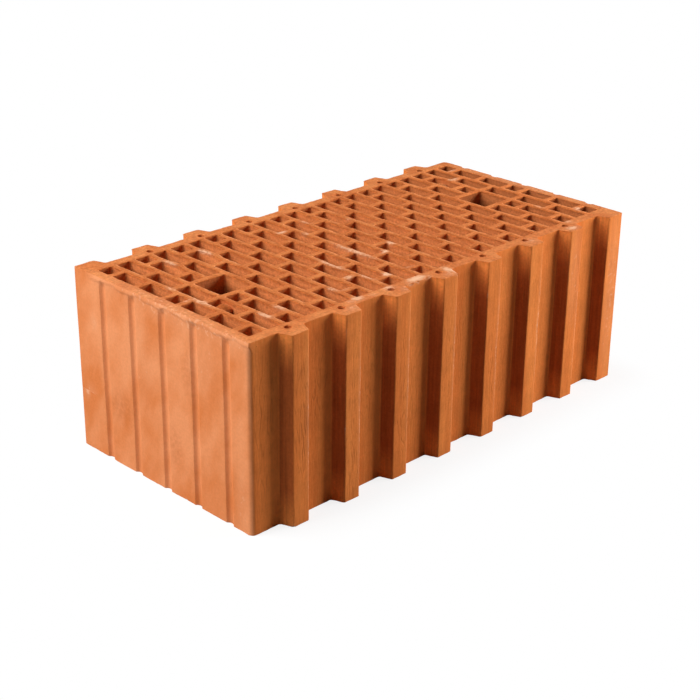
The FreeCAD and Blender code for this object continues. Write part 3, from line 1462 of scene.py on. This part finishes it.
    def wear(self, at: Places, colour: Socket, layers: bpy.types.NodeOutputs, tears: Socket) -> Socket:
        """Adds tears, stains, chalky wear with painted highlight lines, and dark grains.

        Args:
            at: The places and patterns.
            colour: The clay's colour.
            layers: The marks of the mesh.
            tears: Depth of the drag tears.

        Returns:
            The worn colour.
        """
        tree = at.tree
        torn = add_node(tree, "Math", {0: tears, 1: self.tear_share}, operation="MULTIPLY")
        coats = [(torn, self.tear)]
        broken_up = (
            (layers["Green"], self.stain, self.stain_range),
            (layers["Red"], self.chalk_and_highlight, self.chalk_and_highlight_range),
        )
        for layer, tint, (least, full, most) in broken_up:
            inputs = {0: at.noise[Pattern.PATCHES], 1: self.raggedness, 2: layer}
            raised = add_node(tree, "Math", inputs, operation="MULTIPLY_ADD")
            ragged = add_node(tree, "MapRange", {0: raised, 1: least, 2: full, 3: 0.0, 4: most})
            dust = add_node(tree, "Math", {0: layer, 1: self.dust}, operation="MULTIPLY")
            kept = add_node(tree, "Math", {0: ragged, 1: layer}, operation="MINIMUM")
            coats.append((add_node(tree, "Math", {0: kept, 1: dust}, operation="MAXIMUM"), tint))
        half, edge = self.speck_size
        inputs = {"Vector": at.point, "Scale": per_metre(self.speck_spacing_mm)}
        cells = add_node(tree, "TexVoronoi", inputs, "Color")
        chosen = add_node(tree, "SeparateColor", {0: cells}, "Red")
        size = add_node(tree, "MapRange", {0: chosen, 1: self.speck_rarity, 2: 1.0, 3: 0.0, 4: half})
        inside = add_node(tree, "Math", {0: size, 1: cells.node.outputs["Distance"]}, operation="SUBTRACT")
        speck = add_node(tree, "MapRange", {0: inside, 1: 0.0, 2: edge, 3: 0.0, 4: self.speck_share})
        for share, tint in (*coats, (speck, self.speck)):
            colour = add_node(tree, "Mix", {0: share, 6: colour, 7: linear(tint)}, 2, data_type="RGBA")
        return colour

    def relief(self, at: Places, tears: Socket) -> Socket:
        """Height of the fine relief, in millimetres.

        Args:
            at: The places and patterns.
            tears: Depth of the drag tears.

        Returns:
            The height.
        """
        heights = (
            (at.bed, Pattern.CRUMBS, 0.75),
            (at.side, Pattern.STREAKS, 0.1),
            (at.side, Pattern.FLECKS, 0.25),
            (at.slot, Pattern.LINES, 0.4),
            (at.slot, Pattern.GRAIN, 0.4),
            (1.0, Pattern.GRAIN, 0.15),
        )
        height = add_node(at.tree, "Math", {0: tears, 1: -self.tear_mm}, operation="MULTIPLY")
        for share, pattern, most in heights:
            part = add_node(at.tree, "Math", {0: at.noise[pattern], 1: share}, operation="MULTIPLY")
            height = add_node(at.tree, "Math", {0: part, 1: most, 2: height}, operation="MULTIPLY_ADD")
        return height


def seen_directly(tree: Tree) -> Socket:
    """Adds an output that is 1 where a surface is seen straight, mirrored or through glass, and else 0.

    Args:
        tree: The node tree.

    Returns:
        The output.
    """
    seen = add_node(tree, "LightPath", out="Is Camera Ray")
    rays = seen.node.outputs
    for kind in ("Is Glossy Ray", "Is Transmission Ray"):
        seen = add_node(tree, "Math", {0: seen, 1: rays[kind]}, operation="MAXIMUM")
    return seen


@dataclass(frozen=True)
class StudioPaper:
    """Matte white paper under the block, white to the camera apart from the block's soft shadow.

    Attributes:
        layout: The block's reference lines.
        white: The paper as the camera sees it.
        grey: The paper as the block sees it, so that little light comes up from below.
        shadow_share: How much of the light and shade on it shows right beside the block.
        shadow_reach_mm: Distance from the block where that has faded out.
    """

    layout: Layout
    white: str = "#FFFFFF"
    grey: str = "#A2A2A2"
    shadow_share: float = 0.16
    shadow_reach_mm: float = 60.0

    def material(self) -> bpy.types.Material:
        """Makes the material.

        Returns:
            The material.
        """
        made = bpy.data.materials.new("matte_paper")
        tree = empty_tree(made)
        seen = seen_directly(tree)
        away = add_node(tree, "TexCoord", out="Object")
        away = add_node(tree, "VectorMath", {0: away}, operation="ABSOLUTE")
        away = add_node(tree, "VectorMath", {0: away, 1: self.layout.high * MM}, operation="SUBTRACT")
        away = add_node(tree, "VectorMath", {0: away}, operation="MAXIMUM")
        away = add_node(tree, "VectorMath", {0: away}, "Value", operation="LENGTH")
        fade = {0: away, 1: 0.0, 2: self.shadow_reach_mm * MM, 3: 1.0 - self.shadow_share, 4: 1.0}
        plain = add_node(tree, "MapRange", fade, interpolation_type="SMOOTHSTEP")
        share = add_node(tree, "Math", {0: seen, 1: plain}, operation="MULTIPLY")
        tones = {0: seen, 6: linear(self.grey), 7: linear(self.white)}
        tone = add_node(tree, "Mix", tones, 2, data_type="RGBA")
        paper = add_node(tree, "BsdfDiffuse", {"Color": tone})
        glow = add_node(tree, "Emission", {"Color": linear(self.white)})
        mixed = add_node(tree, "MixShader", {0: share, 1: paper, 2: glow})
        add_node(tree, "OutputMaterial", {"Surface": mixed})
        return made


@dataclass(frozen=True)
class SoftBox:
    """A square studio lamp.

    Attributes:
        name: Its name.
        place: Its middle, in metres.
        aim: The point that it faces, in metres.
        side: Its side, in metres.
        watts: Its power.
    """

    name: str
    place: Triple
    aim: Triple
    side: float
    watts: float

    def build(self) -> None:
        """Adds the lamp."""
        data = bpy.data.lights.new(self.name, "AREA")
        data.shape = "SQUARE"
        data.size = self.side
        data.energy = self.watts
        face_point(add_object(self.name, data), Vector(self.place), Vector(self.aim))


@dataclass(frozen=True)
class Studio:
    """Floor, lamps and camera of the photograph.

    Attributes:
        layout: The block's reference lines.
        camera_mm: Where the camera stands, in the block's frame.
        aim_mm: A point in the middle of its picture.
        roll_deg: Its turn about its own axis.
        focal_px: Its focal length in pixels of the photograph.
        lamps: The main lamp and the one that fills in the front.
        floor_side: Side of the floor, in metres.
        sky: Strength of the even light from all sides.
    """

    layout: Layout
    camera_mm: Triple = (-1019.1, -997.4, 698.6)
    aim_mm: Triple = (-111.8, -95.1, 130.6)
    roll_deg: float = 0.695
    focal_px: float = 1516.3
    lamps: tuple[SoftBox, ...] = (
        SoftBox("key_lamp", (-1.47, 0.74, 1.57), (0.0, 0.0, 0.1), 2.0, 74.0),
        SoftBox("fill_lamp", (1.2, -0.85, 0.54), (0.1, 0.0, 0.1), 0.8, 27.0),
    )
    floor_side: float = 12.0
    sky: float = 0.003

    def build(self) -> None:
        """Adds the floor, the light and the camera."""
        self.build_floor()
        self.build_light()
        self.build_camera()

    def build_floor(self) -> None:
        """Adds the floor, level with the lower bed."""
        bpy.ops.object.select_all(action="DESELECT")
        bpy.ops.mesh.primitive_plane_add(size=self.floor_side)
        floor = bpy.context.active_object
        floor.name = "floor"
        floor.data.materials.append(StudioPaper(self.layout).material())

    def build_light(self) -> None:
        """Adds the lamps and the even light, which the camera sees as white."""
        for lamp in self.lamps:
            lamp.build()
        world = bpy.data.worlds.new("studio")
        bpy.context.scene.world = world
        tree = empty_tree(world)
        strength = add_node(tree, "MapRange", {0: seen_directly(tree), 3: self.sky, 4: 1.0})
        even = add_node(tree, "Background", {"Color": (1.0, 1.0, 1.0, 1.0), "Strength": strength})
        add_node(tree, "OutputWorld", {"Surface": even})

    def build_camera(self) -> None:
        """Adds the camera at the photograph's place."""
        data = bpy.data.cameras.new("photo_camera")
        data.lens = data.sensor_width * self.focal_px / PHOTO_SIDE_PX
        camera = add_object("photo_camera", data)
        face_point(camera, Vector(self.camera_mm) * MM, Vector(self.aim_mm) * MM, self.roll_deg)
        bpy.context.scene.camera = camera


def main() -> None:
    """Builds the dressed block and its studio."""
    logging.basicConfig(level=logging.INFO, format="%(name)s %(message)s")
    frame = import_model()
    bpy.context.scene.view_settings.view_transform = "Standard"
    low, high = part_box(NODE)
    layout = Layout(low / MM, high / MM)
    block = BlockBody(frame["nodes"][NODE], layout)
    body = block.build()
    WireLip(layout).build(body)
    WireBurrs(layout).build(body)
    broken = Damage(layout).build(body)
    SurfaceMarks(layout).paint(body, broken)
    body.data.materials.clear()
    body.data.materials.append(FiredClay(layout).material())
    block.finish()
    Studio(layout).build()


if __name__ == "__main__":
    main()
